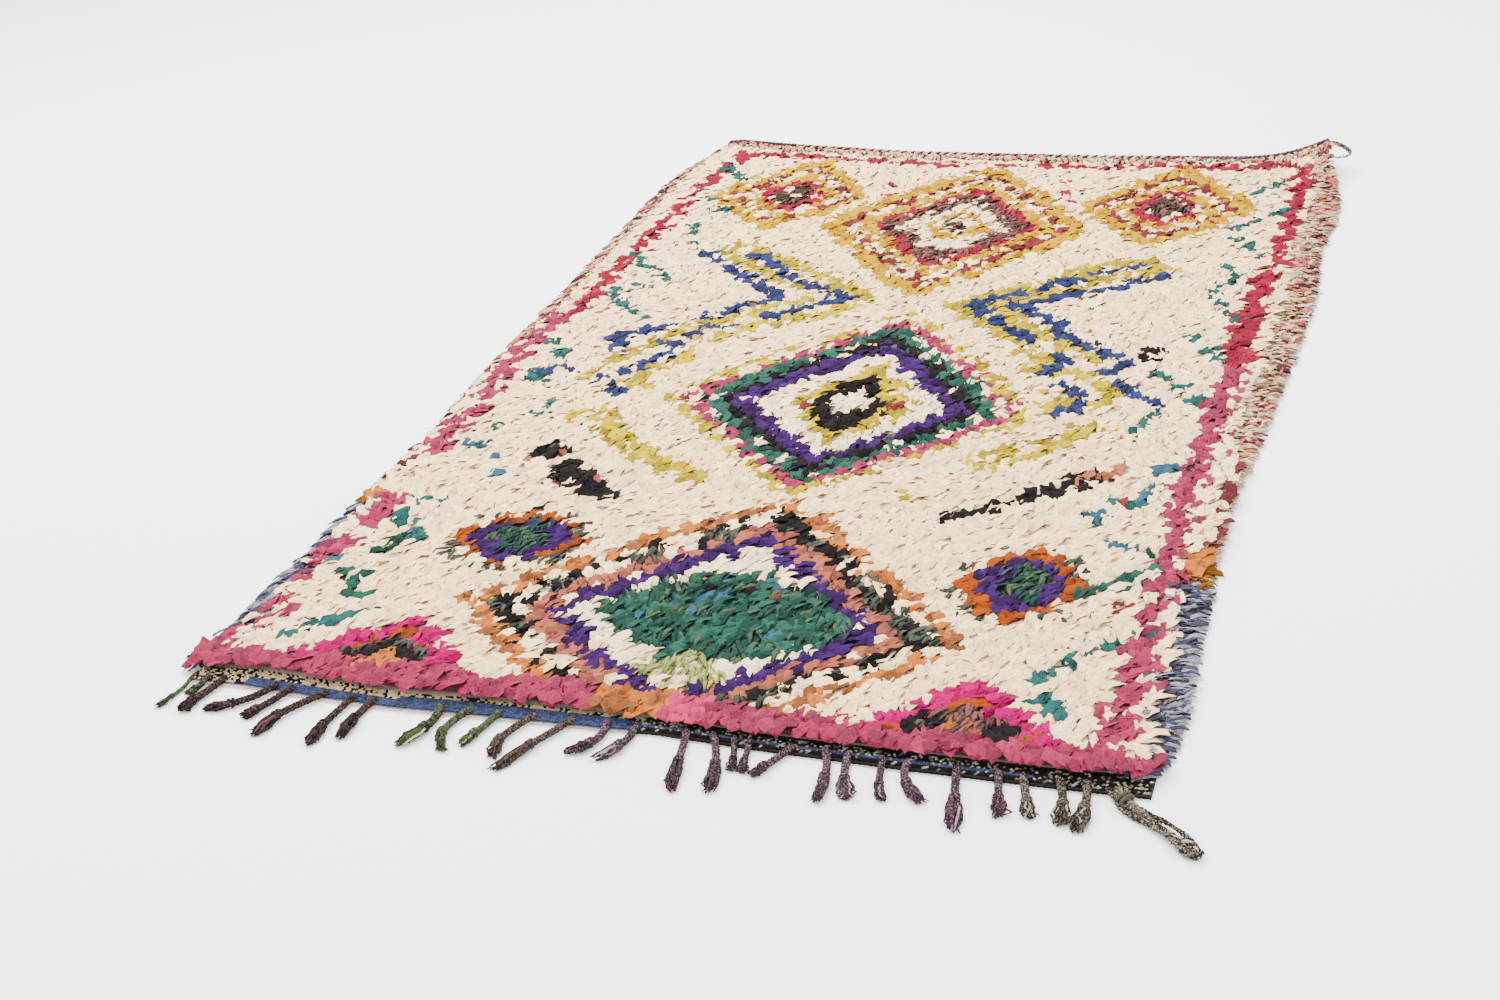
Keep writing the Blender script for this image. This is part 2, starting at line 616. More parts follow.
def crosswise(lines):
    """The level direction across lines and the one over them, at each of their points."""
    way = unit(np.gradient(lines, axis=-2))
    across = unit(np.cross(way, UP))
    return across, np.cross(across, way)


def sweep(lines, radii, sides):
    """Places of tubes along lines (tube, ring, xyz) with radii (tube, ring)."""
    across, over = crosswise(lines)
    turn = (FULL_TURN * np.arange(sides) / sides)[:, None]
    spoke = np.cos(turn) * across[:, :, None, :] - np.sin(turn) * over[:, :, None, :]
    return lines[:, :, None, :] + spoke * radii[:, :, None, None]


def twisted(line, radius, pitch, plies, phase=0.0):
    """Lines of the plies of a slightly flat cord along one line (ring, xyz)."""
    across, over = crosswise(line)
    step = np.linalg.norm(np.diff(line, axis=0), axis=1)
    travelled = np.concatenate(([0.0], np.cumsum(step)))
    made = []
    for k in range(plies):
        turn = FULL_TURN * (travelled / pitch + k / plies) + phase
        level = (np.cos(turn) * radius)[:, None] * across
        made.append(line + level + (np.sin(turn) * radius * CORD_FLAT)[:, None] * over)
    return np.array(made)


def coiled(middle, ahead, turns, run, wide, high):
    """A line that coils around a cord, with its run along it, half width and half height."""
    turn = np.linspace(0.0, turns * FULL_TURN, CORD_RINGS)
    aside = np.array((-ahead[1], ahead[0], 0.0))
    along = ahead * ((turn / turn[-1] - 0.5) * run)[:, None]
    return middle + along + aside * (np.cos(turn) * wide)[:, None] + UP * (np.sin(turn) * high)[:, None]


def resampled(points, count):
    """A smooth line of count points through a few points."""
    points = np.array(points, float)
    padded = np.vstack((2 * points[0] - points[1], points, 2 * points[-1] - points[-2]))
    at = np.linspace(0.0, len(points) - 1.000001, count)
    k = at.astype(int)
    t = (at - k)[:, None]
    a, b, c, d = padded[k], padded[k + 1], padded[k + 2], padded[k + 3]
    bends = (2 * a - 5 * b + 4 * c - d) * t ** 2 + (3 * b - a - 3 * c + d) * t ** 3
    return 0.5 * (2 * b + (c - a) * t + bends)


DYE_NAMES = list(DYES)
FIRST = np.array([linear(DYES[name][0]) for name in DYE_NAMES])
SECOND = np.array([linear(DYES[name][1]) for name in DYE_NAMES])
SHARE = np.array([DYES[name][2] for name in DYE_NAMES])
IS_YARN = np.array([DYES[name][3] for name in DYE_NAMES])


def dye(name):
    return DYE_NAMES.index(name)


def dyed(which, rings, rng, fade=0.07):
    """Colours (tube, ring, rgb) of tubes of the named dyes, each a little its own."""
    count = len(which)
    second = rng.random(count) < SHARE[which]
    base = np.where(second[:, None], SECOND[which], FIRST[which])
    light = np.exp(rng.normal(0.0, fade, count))
    warm = 1.0 + rng.normal(0.0, 0.015, (count, 3))
    tone = base * light[:, None] * warm
    along = np.linspace(0.90, 1.04, rings)
    return np.clip(tone[:, None, :] * along[None, :, None], 0.0, 1.0)


def inward(x, y, middle_x, middle_y, reach, power):
    """How far in each place is, from 0 at a form's rim to 1 at its middle. A power of 1
    makes a lozenge, more a rosette. Its reach is left, right, down and up, or across and along."""
    left, right, down, up = reach if len(reach) == 4 else np.repeat(reach, 2)
    dx, dy = x - middle_x, y - middle_y
    across = np.abs(dx) / np.where(dx < 0, left, right)
    along = np.abs(dy) / np.where(dy < 0, down, up)
    return 1.0 - (across ** power + along ** power) ** (1 / power)


def paint_form(found, x, y, row, power, rng):
    """Paint a row of LOZENGES or ROSETTES, filled or as a ring."""
    middle_x, middle_y, *reach, band = (value / 1000.0 for value in row[1:-1])
    deep = inward(x, y, middle_x, middle_y, reach, power) * min(reach[:2])
    hit = (deep > 0) & (deep < (band or FAR))
    found[hit & (rng.random(len(x)) < row[-1] / 100.0)] = dye(row[0])


def paint_line(found, x, y, row, rng):
    """Paint a row of LINES."""
    name, width, whole, *points = row
    points = [value / 1000.0 for value in points]
    nearest = np.full(len(x), FAR)
    for ax, ay, bx, by in zip(points[::2], points[1::2], points[2::2], points[3::2]):
        dx, dy = bx - ax, by - ay
        share = np.clip(((x - ax) * dx + (y - ay) * dy) / (dx ** 2 + dy ** 2), 0.0, 1.0)
        nearest = np.minimum(nearest, np.hypot(x - ax - share * dx, y - ay - share * dy))
    hit = nearest < width / 1000.0 / 2.0
    found[hit & (rng.random(len(x)) < whole / 100.0)] = dye(name)


def checks(found, x, y):
    """Black, white and grey-green checks in the ring of the nearest lozenge."""
    middle_x, middle_y, *reach, band = (value / 1000.0 for value in CHECKED_RING[1:-1])
    deep = inward(x, y, middle_x, middle_y, reach, 1.0) * min(reach[:2])
    ring = (deep > 0) & (deep < band)
    steps = [np.floor(place / size) for place, size in zip((x, y, deep), CHECK_SIZES)]
    block = sum(steps).astype(int) % 4
    found[ring & (block != 1)] = dye("black")
    found[ring & (block == 1)] = dye("white")
    found[ring & (block == 3)] = dye("grey green")


def streaks(found, x, y, rng):
    """Mixed streaks in the green lozenge and the tuft over it."""
    green = (found == dye("green")) & (y < -0.6) & (np.abs(x) < 0.2)
    upper = green & (y > -0.775)
    draw = rng.random(len(x))
    for name, low, high, where in (
        ("streaked green", 0.00, 0.28, green),
        ("sky", 0.95, 1.00, green),
        ("deep green", 0.28, 0.42, upper),
        ("brick", 0.42, 0.48, upper),
        ("black", 0.48, 0.56, upper),
        ("sky", 0.56, 0.64, upper),
    ):
        found[where & (draw > low) & (draw < high)] = dye(name)


def chart(x, y, rng):
    """The dye of the knot that shows at each place."""
    teeth = TOOTH_DEEP * (0.5 - (y / TOOTH_LONG) % 1.0)
    side_x = x + np.where(np.abs(x) > TOOTHED_FROM, teeth, 0.0) + rng.normal(0.0, 0.0030, len(x))
    jog_x = x + rng.normal(0.0, 0.004, len(x))
    jog_y = y + rng.normal(0.0, 0.004, len(x))
    found = np.full(len(x), dye("cream"))
    for row in LINES[:SIDE_BORDERS]:
        paint_line(found, side_x, y, row, rng)
    for row in LINES[SIDE_BORDERS:]:
        paint_line(found, jog_x, jog_y, row, rng)
    for row in LOZENGES:
        paint_form(found, jog_x, jog_y, row, LOZENGE_POWER, rng)
        if row is CHECKED_RING:
            checks(found, jog_x, jog_y)
    for row in ROSETTES:
        paint_form(found, jog_x, jog_y, row, ROSETTE_POWER, rng)
    streaks(found, jog_x, jog_y, rng)
    for row in GABLES:
        middle_x, base, half, high = (value / 1000.0 for value in row)
        size = np.abs(jog_x - middle_x) / half + (jog_y - base) / high
        for name, share, whole in GABLE_BANDS:
            hit = (size < share) & (jog_y > base - 0.01) & (rng.random(len(x)) < whole)
            found[hit] = dye(name)
    for row in GABLE_TUFTS:
        paint_form(found, jog_x, jog_y, row, ROSETTE_POWER, rng)
    near = y < -0.999 - 0.021 * np.clip(x / 0.25, 0.0, 1.0) + 0.005 * np.sin(x * 41.0)
    for name, left, right in (("pink", -FAR, FAR), ("peach", -0.07, 0.02), ("rosy", 0.02, 0.065)):
        found[near & (x > left) & (x < right)] = dye(name)
    return found


# Rag locks: rings along, sides around, and the share of the size at each of them
RINGS, ACROSS = 4, 5
LOCK_RISE = np.array([0.58, 0.90, 1.00, 0.82])
LOCK_WIDE = np.array([0.82, 1.00, 0.98, 0.56])
LOCK_ALONG = np.array([0.00, 0.36, 0.74, 1.00])
SECTION_ACROSS = np.array([0.0, 0.50, 0.19, -0.19, -0.50])
SECTION_HIGH = np.array([-0.10, -0.05, 0.03, 0.05, -0.05])
FORMS = 24
# Girth of a lock in widths, and how far along it shows most
GIRTH = 2.2
SHOWN = 0.7


def lock_forms(rng):
    """Shapes of rag locks: form, ring, side, (across, along, high, over the line)."""
    forms = np.zeros((FORMS, RINGS, ACROSS, 4))
    forms[..., 0] = SECTION_ACROSS * LOCK_WIDE[:, None]
    forms[..., 1] = LOCK_ALONG[:, None]
    forms[..., 2] = LOCK_RISE[:, None]
    forms[..., 3] = SECTION_HIGH * LOCK_WIDE[:, None]
    forms[..., 0] += rng.normal(0.0, 0.085, (FORMS, RINGS, ACROSS))
    forms[..., 3] += rng.normal(0.0, 0.100, (FORMS, RINGS, ACROSS))
    forms[:, 1:, :, 1] += rng.normal(0.0, 0.040, (FORMS, RINGS - 1, ACROSS))
    return forms


def ahead(heading):
    """Directions in plan of headings, which turn from -Y towards +X."""
    return np.stack((np.sin(heading), -np.cos(heading)), axis=1)


def beside(heading):
    """Directions in plan across headings."""
    return np.stack((np.cos(heading), np.sin(heading)), axis=1)


def locks(root, heading, length, width, high, roll, bend, forms, which, base=0.004):
    """Places of rag locks over the ground: tube, ring, side, xyz."""
    shape = forms[which]
    across = shape[..., 0] * width[:, None, None]
    over = shape[..., 3] * width[:, None, None]
    cos, sin = np.cos(roll)[:, None, None], np.sin(roll)[:, None, None]
    across, over = across * cos - over * sin, across * sin + over * cos
    along = shape[..., 1] * length[:, None, None]
    across = across + (bend * width)[:, None, None] * LOCK_ALONG[None, :, None] ** 2
    plan = (
        root[:, None, None, :2]
        + ahead(heading)[:, None, None, :] * along[..., None]
        + beside(heading)[:, None, None, :] * across[..., None]
    )
    level = base + shape[..., 2] * (high[:, None, None] - base) + over
    level = np.maximum(level, 0.0012) + curl(plan[..., 0], plan[..., 1])
    return np.concatenate((plan, level[..., None]), axis=3)


def knot_grid(pitch_x, pitch_y, rng):
    """Knot places over the pile, in staggered rows, with a little disorder."""
    rows = np.arange(-1.06, 1.07, pitch_y)
    columns = np.arange(-0.66, 0.66, pitch_x)
    x, y = np.meshgrid(columns, rows)
    x = x + (np.arange(len(rows)) % 2)[:, None] * pitch_x * 0.5
    x = x.ravel() + rng.uniform(-0.24, 0.24, x.size) * pitch_x
    y = y.ravel() + rng.uniform(-0.24, 0.24, y.size) * pitch_y
    return x, y


def pile_top(x, y, high):
    """Height of the pile over the ground, lower towards the rim, in soft lumps."""
    edge = np.minimum(np.minimum(x - left_edge(y), right_edge(y) - x), far_edge(x) - y)
    share = np.clip(edge / 0.045, 0.0, 1.0)
    rim = share * share * (3.0 - 2.0 * share)
    return high * (0.62 + 0.38 * rim) + 0.0024 * noise_at(x, y, 0.024, 0.0)


def fill(tree, node, inputs):
    """Link or set a node's inputs."""
    for key, value in inputs.items():
        if isinstance(value, bpy.types.NodeSocket):
            tree.links.new(value, node.inputs[key])
        else:
            node.inputs[key].default_value = value
    return node


def add(tree, kind, inputs, **settings):
    """Add a node, set its properties, and fill or link its inputs."""
    node = tree.nodes.new(kind)
    for name, value in settings.items():
        setattr(node, name, value)
    return fill(tree, node, inputs)


def new_material(name):
    """A material with a Principled shader alone."""
    made = bpy.data.materials.new(name)
    made.use_nodes = True
    return made, made.node_tree, made.node_tree.nodes["Principled BSDF"]


def marled(tree, place, source, flecks):
    """Pale flecks of a second fibre, as far as the dye attribute's alpha is under 1."""
    grain = add(tree, "ShaderNodeTexNoise", {"Vector": place, "Scale": 560.0, "Detail": 1.0})
    spots = add(tree, "ShaderNodeMapRange", {"Value": grain.outputs["Fac"], 1: 0.53, 2: 0.61})
    share = add(tree, "ShaderNodeMath", {0: 1.0, 1: source.outputs["Alpha"]}, operation="SUBTRACT")
    sizes = {0: spots.outputs["Result"], 1: share.outputs[0]}
    amount = add(tree, "ShaderNodeMath", sizes, operation="MULTIPLY")
    colours = {0: amount.outputs[0], 6: source.outputs["Color"], 7: (*linear(flecks), 1.0)}
    return add(tree, "ShaderNodeMix", colours, data_type="RGBA").outputs[2]


def yarn_material(name, roughness, sheen, crease, fine, fine_depth, hollow, flecks=None):
    """Dyed cotton or wool: the lock's own dye, faded in blotches and darker in the
    creases along the lock, with a fine thread texture."""
    made, tree, shader = new_material(name)
    place = add(tree, "ShaderNodeTexCoord", {}).outputs["Object"]
    run = add(tree, "ShaderNodeUVMap", {}, uv_map=RUN_MAP).outputs["UV"]
    source = add(tree, "ShaderNodeAttribute", {}, attribute_name=DYE)
    colour = marled(tree, place, source, flecks) if flecks else source.outputs["Color"]
    blotch = add(tree, "ShaderNodeTexNoise", {"Vector": place, "Scale": 140.0, "Detail": 3.0})
    faded = {"Value": blotch.outputs["Fac"], 1: 0.3, 2: 0.7, 3: 0.86, 4: 1.10}
    fade = add(tree, "ShaderNodeMapRange", faded)
    along = {"Vector": run, "Scale": (1.0 / crease, 0.42 / crease, 1.0)}
    stretched = add(tree, "ShaderNodeMapping", along).outputs["Vector"]
    folds = add(tree, "ShaderNodeTexNoise", {"Vector": stretched, "Scale": 1.0, "Detail": 4.0})
    hollows = {"Value": folds.outputs["Fac"], 1: 0.38, 2: 0.47, 3: hollow, 4: 1.0}
    slit = add(tree, "ShaderNodeMapRange", hollows)
    shades = {0: fade.outputs["Result"], 1: slit.outputs["Result"]}
    worn = add(tree, "ShaderNodeMath", shades, operation="MULTIPLY")
    tone = add(tree, "ShaderNodeVectorMath", {0: colour, 3: worn.outputs[0]}, operation="SCALE")
    threads = add(tree, "ShaderNodeTexNoise", {"Vector": place, "Scale": 1.0 / fine, "Detail": 1.0})
    relief = {0: threads.outputs["Fac"], 1: fine_depth, 2: folds.outputs["Fac"]}
    both = add(tree, "ShaderNodeMath", relief, operation="MULTIPLY_ADD")
    depth = {"Height": both.outputs[0], "Strength": 1.0, "Distance": 0.0045}
    fill(tree, shader, {
        "Base Color": tone.outputs["Vector"],
        "Normal": add(tree, "ShaderNodeBump", depth).outputs["Normal"],
        "Roughness": roughness,
        "Sheen Weight": sheen,
        "Sheen Roughness": 0.6,
        "Specular IOR Level": 0.04,
    })
    return made


def ground_material(name):
    """Wool plain weave under the pile, tinted by the rags that are knotted into it."""
    made, tree, shader = new_material(name)
    place = add(tree, "ShaderNodeTexCoord", {}).outputs["Object"]
    fine = {"Vector": place, "Scale": 55.0, "Distortion": 1.4, "Detail": 2.0}
    weft = add(tree, "ShaderNodeTexWave", fine, bands_direction="Y")
    finer = {"Vector": place, "Scale": 70.0, "Distortion": 0.8}
    warp = add(tree, "ShaderNodeTexWave", finer, bands_direction="X")
    cloud = add(tree, "ShaderNodeTexNoise", {"Vector": place, "Scale": 9.0, "Detail": 4.0})
    ramp = add(tree, "ShaderNodeValToRGB", {"Fac": cloud.outputs["Fac"]})
    for element, position, grey in zip(ramp.color_ramp.elements, (0.3, 0.7), (0.90, 1.0)):
        element.position = position
        element.color = (grey, grey, grey, 1.0)
    colour = add(tree, "ShaderNodeAttribute", {}, attribute_name=DYE).outputs["Color"]
    shades = {0: colour, 1: ramp.outputs["Color"]}
    tone = add(tree, "ShaderNodeVectorMath", shades, operation="MULTIPLY")
    waves = {0: weft.outputs["Fac"], 1: warp.outputs["Fac"]}
    both = add(tree, "ShaderNodeMath", waves, operation="MULTIPLY")
    depth = {"Height": both.outputs[0], "Strength": 0.6, "Distance": 0.001}
    fill(tree, shader, {
        "Base Color": tone.outputs["Vector"],
        "Normal": add(tree, "ShaderNodeBump", depth).outputs["Normal"],
        "Roughness": 0.92,
    })
    return made


YARNS = {
    # name: roughness, sheen, crease size, thread size and depth, shade of the creases, flecks
    # Matte cotton jersey: a dull, soft face with creases along each rag
    "torn_cotton_rag": (0.95, 0.0, 0.0042, 0.0011, 0.25, 0.86),
    # Hand-spun wool: duller and more furry than the rags, with fine plies
    "hand_spun_wool": (0.97, 0.02, 0.0012, 0.0008, 0.6, 0.80),
    # Marled fringe wool: dark dyed fibre spun with pale fibre that shows as flecks
    "marled_fringe_wool": (0.97, 0.02, 0.0012, 0.0008, 0.6, 0.80, "#BCA890"),
}
# Undyed wool in plain weave, the ground that the rags are knotted into
GROUND = "plain_woven_ground_wool"


def material(name):
    """The named material, made once."""
    made = bpy.data.materials.get(name)
    if made or name == GROUND:
        return made or ground_material(name)
    return yarn_material(name, *YARNS[name])


def ready(piece, material_name, slot, *replaced):
    """Give a finished piece its material, body, slot and the solids it stands for."""
    piece.data.materials.append(material(material_name))
    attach(piece, BODY)
    if replaced:
        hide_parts(*replaced)


def distance(name, description, default, low, high):
    """A property for a length in metres."""
    return FloatProperty(
        name=name, description=description, default=default, min=low, max=high,
        unit="LENGTH", subtype="DISTANCE",
    )


class RUG_PG_sizes(bpy.types.PropertyGroup):
    """Sizes of the rug's pile and cords"""

    pile_high: distance("Pile height", "Height of the pile over the floor", 0.0205, 0.005, 0.05)
    rag_long: distance("Rag length", "Length of a rag lock in plan", 0.034, 0.01, 0.08)
    rag_wide: distance("Rag width", "Width of a rag lock", 0.0148, 0.004, 0.04)
    knot_across: distance("Knot spacing", "Distance between knots in a row", 0.0104, 0.006, 0.03)
    row_along: distance("Row spacing", "Distance between rows of knots", 0.0142, 0.008, 0.04)
    cord_thick: distance("Fringe cord", "Thickness of a plied fringe cord", 0.0120, 0.004, 0.02)
    seed: IntProperty(
        name="Seed", description="Start of the disorder in the pile", default=7, min=0, max=999,
    )


class RUG_PG_light(bpy.types.PropertyGroup):
    """Floor and light of the stage"""

    floor: FloatVectorProperty(
        name="Floor", description="Colour of the floor",
        default=linear("#F6F6F6"), size=3, min=0.0, max=1.0, subtype="COLOR",
    )
    power: FloatProperty(
        name="Soft light", description="Power of the large light over the rug",
        default=260.0, min=0.0, max=2000.0, subtype="POWER",
    )
    sky: FloatProperty(
        name="Surround", description="Strength of the even light from all sides",
        default=3.4, min=0.0, max=9.0,
    )


def sheet_of_wool(columns, rows, place):
    """A thin sheet as a bmesh: a grid placed from its shares across and along, extruded
    into two faces. Gives its upper vertices too."""
    bm = bmesh.new()
    bmesh.ops.create_grid(bm, x_segments=columns, y_segments=rows, size=0.5)
    for vert in bm.verts:
        vert.co = place(vert.co.x + 0.5, vert.co.y + 0.5)
    made = bmesh.ops.extrude_face_region(bm, geom=[*bm.faces, *bm.edges, *bm.verts])["geom"]
    return bm, [item for item in made if isinstance(item, bmesh.types.BMVert)]


def sheet_piece(name, bm, tints, slot, solid):
    """The finished piece of a thin sheet, with the dye of each of its vertices."""
    bmesh.ops.recalc_face_normals(bm, faces=bm.faces)
    mesh = bpy.data.meshes.new(name)
    bm.to_mesh(mesh)
    bm.free()
    ready(painted(name, mesh, np.array(tints), 60.0), GROUND, slot, solid)


class RUG_OT_ground(bpy.types.Operator):
    """Add the ground cloth under the pile"""

    bl_idname = "rug.ground"
    bl_label = "Ground cloth"

    def execute(self, context):
        bm, upper = sheet_of_wool(84, 150, self.place)
        for vert in upper:
            x, y = vert.co.x, vert.co.y
            rim = min(x - left_edge(y), right_edge(y) - x, far_edge(x) - y, y - pile_near(x)) / 0.055
            swell = 0.0158 + 0.0014 * noise.noise(vert.co / 0.03)
            rise = min(max(float(rim) - 0.25, 0.0), 1.0)
            vert.co.z += CLOTH_THICK + (swell - CLOTH_THICK) * rise
        bm.verts.index_update()
        spots = np.array([vert.co[:2] for vert in bm.verts])
        rng = np.random.default_rng(context.scene.rug_sizes.seed + 10)
        tints = FIRST[chart(spots[:, 0], spots[:, 1], rng)]
        tints = tints * 0.55 + tints.mean(axis=1, keepdims=True) * 0.45
        lower = np.ones(len(tints), bool)
        lower[[vert.index for vert in upper]] = False
        tints[lower] = linear(GROUND_WOOL)
        sheet_piece("ground_cloth", bm, tints, "pile_cotton", "rug_body")
        return {"FINISHED"}

    def place(self, across, along):
        """A place of the lower face, a little inside the pile's outline."""
        y = -1.035 + 2.07 * along
        left, right = float(left_edge(y)) + 0.014, float(right_edge(y)) - 0.014
        x = left + (right - left) * across
        near, far = float(pile_near(x)) + 0.015, float(far_edge(x)) - 0.006
        y = near + (far - near) * along
        return x, y, 0.0006 + float(curl(x, y))


def yarn_strands(name, heading, root, length, width, high, roll, bend, forms, which, base, fade, rng):
    """A piece of yarn strands, each with its own roll and bend."""
    count = len(root)
    places = locks(root, heading, length, width, high, rng.normal(0.0, roll, count),
                   rng.normal(0.0, bend, count), forms, rng.integers(0, FORMS, count), base)
    runs = np.stack((length, width * GIRTH), axis=1)
    piece = joined_tubes(name, places, dyed(which, RINGS, rng, fade), runs)
    ready(piece, "hand_spun_wool", "pile_cotton")


class RUG_OT_pile(bpy.types.Operator):
    """Add the knotted rag pile in its lozenges, chevrons and borders"""

    bl_idname = "rug.pile"
    bl_label = "Rag pile"

    def execute(self, context):
        sizes = context.scene.rug_sizes
        rng = np.random.default_rng(sizes.seed)
        x, y = knot_grid(sizes.knot_across, sizes.row_along, rng)
        sway = noise_at(x, y, 0.16, 3.0) * 0.8 + noise_at(x, y, 0.045, 4.0) * 0.45
        heading = -0.22 + sway + rng.normal(0.0, 0.20, len(x))
        length = sizes.rag_long * np.exp(rng.normal(0.0, 0.13, len(x)))
        width = sizes.rag_wide * np.exp(rng.normal(0.0, 0.16, len(x)))
        shown_x, shown_y = self.shown(x, y, heading, length)
        inside = (
            (shown_x > left_edge(shown_y) + table_column(PILE_MARGIN, 1, shown_y))
            & (shown_x < right_edge(shown_y) - table_column(PILE_MARGIN, 2, shown_y))
            & (y < far_edge(x) - 0.040)
            & (y - np.cos(heading) * length > pile_near(x) + 0.020)
        )
        fields = [values[inside] for values in (x, y, heading, length, width)]
        rim = self.near_rim(sizes, rng)
        x, y, heading, length, width = (np.concatenate(pair) for pair in zip(fields, rim))
        shown_x, shown_y = self.shown(x, y, heading, length)
        which = chart(shown_x, shown_y, rng)
        high = pile_top(shown_x, shown_y, sizes.pile_high) + rng.normal(0.0, 0.0007, len(x))
        roll = rng.normal(0.0, 0.13, len(x))
        bend = rng.normal(0.0, 0.22, len(x))
        forms = lock_forms(rng)
        picks = rng.integers(0, FORMS, len(x))
        root = np.stack((x, y), axis=1)
        rags = ~IS_YARN[which]
        fields = [values[rags] for values in (root, heading, length, width, high, roll, bend)]
        self.rag_pieces(fields, forms, picks[rags], which[rags], rng)
        yarns = np.repeat(np.flatnonzero(~rags), 3)
        fields = [values[yarns] for values in (root, heading, length, high, which)]
        self.yarn_piece(*fields, forms, rng)
        return {"FINISHED"}

    def shown(self, x, y, heading, length):
        """Where rags show most, between the knot and the tip."""
        return x + np.sin(heading) * length * SHOWN, y - np.cos(heading) * length * SHOWN

    def near_rim(self, sizes, rng):
        """Larger rags in rows whose tips overhang the end band evenly."""
        columns = np.arange(-0.590, 0.562, sizes.knot_across)
        x = np.concatenate([columns + (row % 2) * 0.006 for row in range(3)])
        row = np.repeat(np.arange(3), len(columns))
        heading = rng.normal(-0.05, 0.25, len(x))
        length = sizes.rag_long * np.exp(rng.normal(0.10, 0.10, len(x)))
        width = sizes.rag_wide * np.exp(rng.normal(0.30, 0.16, len(x)))
        tip = pile_near(x) - 0.003 + 0.0115 * row + rng.normal(0.0, 0.0022, len(x))
        x = x + rng.normal(0.0, 0.0025, len(x))
        x, y = x - np.sin(heading) * length * 0.5, tip + np.cos(heading) * length
        return x, y, heading, length, width

    def rag_pieces(self, fields, forms, picks, which, rng):
        """Four pieces of rags, from the fringed end to the plain end."""
        root, _, length, width = fields[:4]
        places = locks(*fields, forms, picks)
        colours = dyed(which, RINGS, rng)
        runs = np.stack((length, width * GIRTH), axis=1)
        order = np.argsort(root[:, 1], kind="stable")
        for k, part in enumerate(np.array_split(order, 4), 1):
            piece = joined_tubes(f"rag_pile_{k}", places[part], colours[part], runs[part], 38.0)
            ready(piece, "torn_cotton_rag", "pile_cotton")

    def yarn_piece(self, root, heading, length, high, which, forms, rng):
        """The tufts of yarn, three strands to a knot."""
        count = len(root)
        spread = np.tile((-1.0, 0.0, 1.0), count // 3)
        turned = heading + spread * 0.22 + rng.normal(0.0, 0.12, count)
        start = root + beside(heading) * (spread * 0.0042)[:, None]
        width = 0.0068 * np.exp(rng.normal(0.0, 0.15, count))
        long = length * rng.uniform(0.85, 1.12, count)
        lift = high + rng.normal(0.0, 0.0014, count)
        yarn_strands("yarn_pile", turned, start, long, width, lift, 0.3, 0.6, forms, which,
                     0.004, 0.07, rng)


SELVEDGE_DYES = (
    # side, from y, to y, dye, the dye it is mixed with
    (-1, -1.06, -0.60, "blue grey", "blue grey"),
    (-1, -0.60, -0.54, "yellow patch", "cream"),
    (-1, -0.54, -0.24, "dark red", "cream"),
    (-1, -0.24, 1.08, "mauve pink", "cream"),
    (1, -1.06, -0.61, "blue grey", "blue grey"),
    (1, -0.61, -0.56, "yellow patch", "peach"),
    (1, -0.56, -0.26, "cream", "cream"),
    (1, -0.26, 1.08, "mauve pink", "cream"),
)
OUTWARD = (0.80, 1.00, 0.70, 0.20)
INWARD = (0.30, 0.88, 1.00, 0.72)


def combed(name, root, tip, high, rise, which, rng):
    """A piece of yarn strands, each combed from its root to its tip in plan."""
    run = tip - root
    forms = lock_forms(rng)
    forms[..., 2] = np.array(rise)[None, :, None]
    width = 0.0066 * np.exp(rng.normal(0.0, 0.18, len(root)))
    yarn_strands(name, np.arctan2(run[:, 0], -run[:, 1]), root, np.hypot(run[:, 0], run[:, 1]),
                 width, high, 0.35, 0.7, forms, which, 0.001, 0.12, rng)


